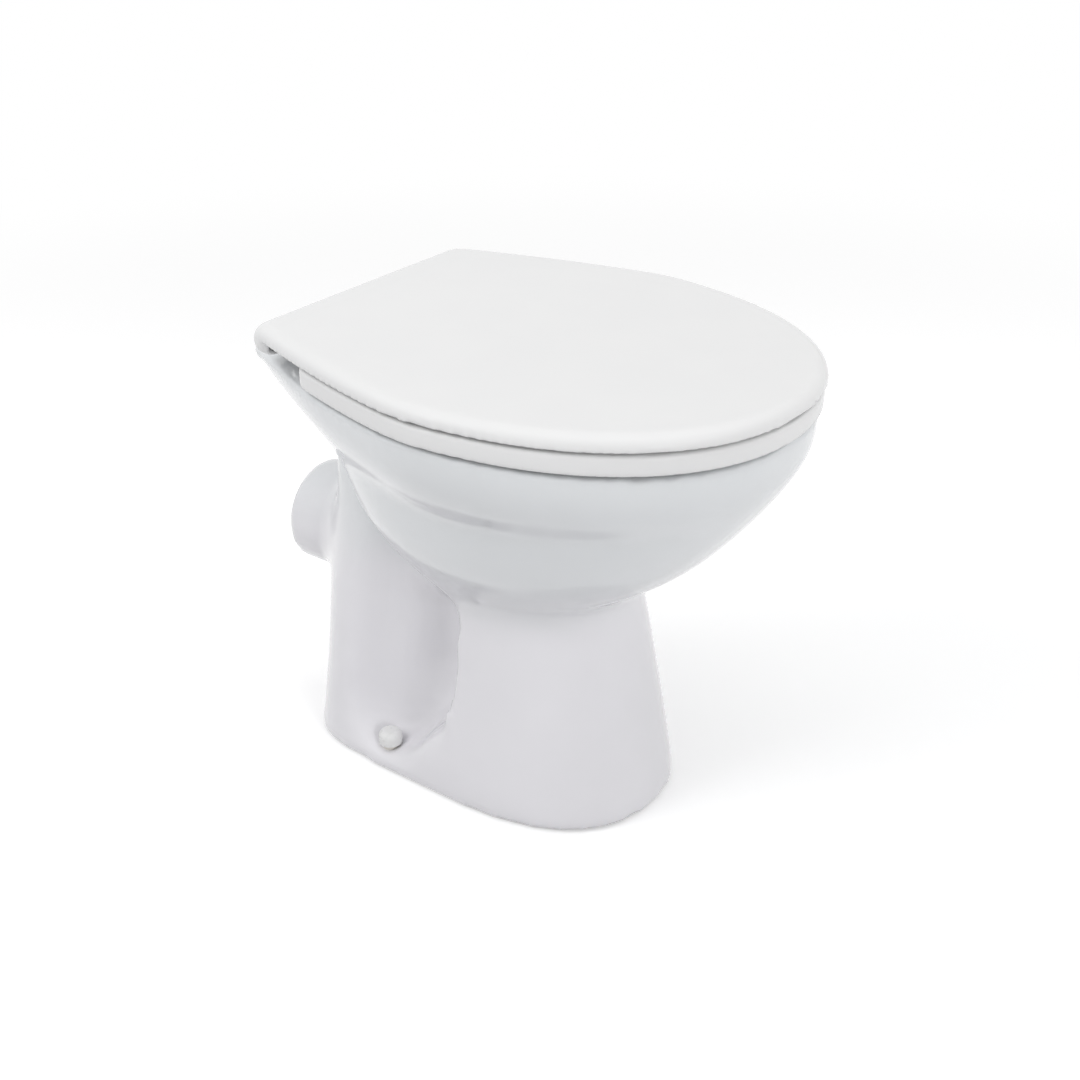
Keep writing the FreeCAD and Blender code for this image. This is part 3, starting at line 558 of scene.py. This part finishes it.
def thread_tree():
    """A node group that winds a thread and sets one on each of a row of points a stride apart."""
    tree = bpy.data.node_groups.new("bolt_thread", "GeometryNodeTree")
    sockets = {
        "Start": "Vector", "Stride": "Vector", "Count": "Int", "Radius": "Float", "Length": "Float",
        "Turns": "Float", "Ridge": "Float", "Steps": "Int", "Sides": "Int", "Material": "Material"}
    for label, kind in sockets.items():
        tree.interface.new_socket(label, in_out="INPUT", socket_type="NodeSocket" + kind)
    tree.interface.new_socket("Geometry", in_out="OUTPUT", socket_type="NodeSocketGeometry")
    net = Paint(tree)
    given = net.node("NodeGroupInput").socket.node
    value = {label: Amount(net, given.outputs[label]) for label in sockets}
    spiral = net.node("GeometryNodeCurveSpiral", values={
        "Resolution": value["Steps"], "Rotations": value["Turns"], "Start Radius": value["Radius"],
        "End Radius": value["Radius"], "Height": value["Length"]})
    ridge = net.node("GeometryNodeCurvePrimitiveCircle", values={
        "Resolution": value["Sides"], "Radius": value["Ridge"]})
    thread = net.node("GeometryNodeCurveToMesh", values={
        "Curve": spiral, "Profile Curve": ridge, "Fill Caps": True})
    points = net.node("GeometryNodeMeshLine", values={
        "Count": value["Count"], "Start Location": value["Start"], "Offset": value["Stride"]})
    wound = net.node("GeometryNodeInstanceOnPoints", values={"Points": points, "Instance": thread})
    real = net.node("GeometryNodeRealizeInstances", values={"Geometry": wound})
    painted = net.node("GeometryNodeSetMaterial", values={"Geometry": real, "Material": value["Material"]})
    net.node("NodeGroupOutput", values={"Geometry": painted})
    return tree


def make_threads():
    """The threads of both hinge bolts, from each bolt's lower end upwards."""
    starts = []
    for side in sides:
        low, high = map(Vector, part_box("hinge_bolt_" + side))
        starts.append(Vector(((low.x + high.x) / 2, (low.y + high.y) / 2, low.z + thread_ridge)))
    tree = thread_tree()
    maker = link(bpy.data.objects.new("thread_maker", bpy.data.meshes.new("thread_maker")))
    winding = maker.modifiers.new("winding", "NODES")
    winding.node_group = tree
    inputs = {
        "Start": starts[0], "Stride": starts[1] - starts[0], "Count": len(starts), "Radius": bolt_radius,
        "Length": thread_length, "Turns": thread_length / thread_pitch, "Ridge": thread_ridge,
        "Steps": thread_steps, "Sides": thread_sides, "Material": materials["steel"]}
    for item in tree.interface.items_tree:
        if item.in_out == "INPUT":
            winding[item.identifier] = inputs[item.name]
    mesh = evaluated_mesh(maker)
    bpy.data.objects.remove(maker)
    threads = link(bpy.data.objects.new("bolt_threads", mesh))
    mesh.shade_smooth()
    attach(threads, "pan_body")


softened("pan", "pan_china", "pan_body", "china", pan_voxel, pan_passes, pan_rounds, shape_pan,
         crisp_ys=pipe_end_ys)
softened("lid", "lid_shell", "lid_body", "seat_plastic", shell_voxel, shell_passes, shell_rounds)
softened("seat", "seat_shell", "seat_body", "seat_plastic", shell_voxel, shell_passes, shell_rounds,
         shape_seat, seat_skirt_drop)
for side in sides:
    softened("hinge_bracket_" + side, "hinge_bracket_form_" + side, "pan_body", "hinge_plastic", small_voxel)
    softened("wing_nut_" + side, "wing_nut_form_" + side, "pan_body", "nylon", small_voxel)
make_threads()
for kind, slot_name in node_slots.items():
    for side in sides:
        give_finish(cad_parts[kind + "_" + side].data, slot_name)


# Floor, light and camera

def make_floor():
    """A wide pale floor that keeps the object's shadow, is nearly white to the camera, and white far out."""
    work = bmesh.new()
    bmesh.ops.create_circle(work, cap_ends=True, segments=floor_sides, radius=floor_radius)
    mesh = bpy.data.meshes.new("floor")
    work.to_mesh(mesh)
    work.free()
    floor = link(bpy.data.objects.new("floor", mesh))
    material = bpy.data.materials.new("floor")
    material.use_nodes = True
    paint = Paint(material.node_tree)
    shown = paint.seen(("Camera", "Glossy"))
    lifted = paint.node("ShaderNodeAddShader", values={
        0: paint.matt(floor_seen_colour), 1: paint.glow("ShaderNodeEmission", white, floor_glow_level)})
    near = paint.mixed(shown, paint.matt(floor_colour), lifted)
    far = paint.glow("ShaderNodeEmission", white, background_level)
    reach = paint.node("ShaderNodeVectorMath", {"operation": "LENGTH"}, {0: paint.place()}, output="Value")
    surface = paint.mixed(shown * paint.between(reach, *floor_fade_reaches), near, far)
    paint.node("ShaderNodeOutputMaterial", values={"Surface": surface})
    mesh.materials.append(material)


def make_world():
    """White to the camera and in reflections, and a softer even light on everything else."""
    world = bpy.data.worlds.new("studio")
    bpy.context.scene.world = world
    world.use_nodes = True
    paint = Paint(world.node_tree)
    seen = paint.seen(("Camera", "Glossy", "Transmission"))
    even = paint.glow("ShaderNodeBackground", ambient_tint, even_level)
    bright = paint.glow("ShaderNodeBackground", white, background_level)
    paint.node("ShaderNodeOutputWorld", values={"Surface": paint.mixed(seen, even, bright)})


def make_lamp(name, place, aim, width, power):
    """A large soft square lamp. The glaze mirrors the white room, not the lamp."""
    data = bpy.data.lights.new(name, "AREA")
    data.shape = "SQUARE"
    data.size = width
    data.energy = power
    lamp = link(bpy.data.objects.new(name, data))
    lamp.visible_glossy = False
    lamp.location = place
    lamp.rotation_euler = (Vector(aim) - Vector(place)).to_track_quat("-Z", "Y").to_euler()


def make_camera():
    """The camera at the photograph's angle."""
    turn, lift = math.radians(camera_azimuth), math.radians(camera_elevation)
    back = Vector((math.sin(turn) * math.cos(lift), -math.cos(turn) * math.cos(lift), math.sin(lift)))
    data = bpy.data.cameras.new("camera")
    data.lens = camera_lens
    data.shift_x, data.shift_y = camera_shift
    camera = link(bpy.data.objects.new("camera", data))
    camera.location = target + camera_distance * back
    camera.rotation_euler = (-back).to_track_quat("-Z", "Y").to_euler()
    bpy.context.scene.camera = camera


make_floor()
make_world()
for lamp in lamps:
    make_lamp(*lamp)
make_camera()
bpy.context.scene.view_settings.view_transform = "Standard"
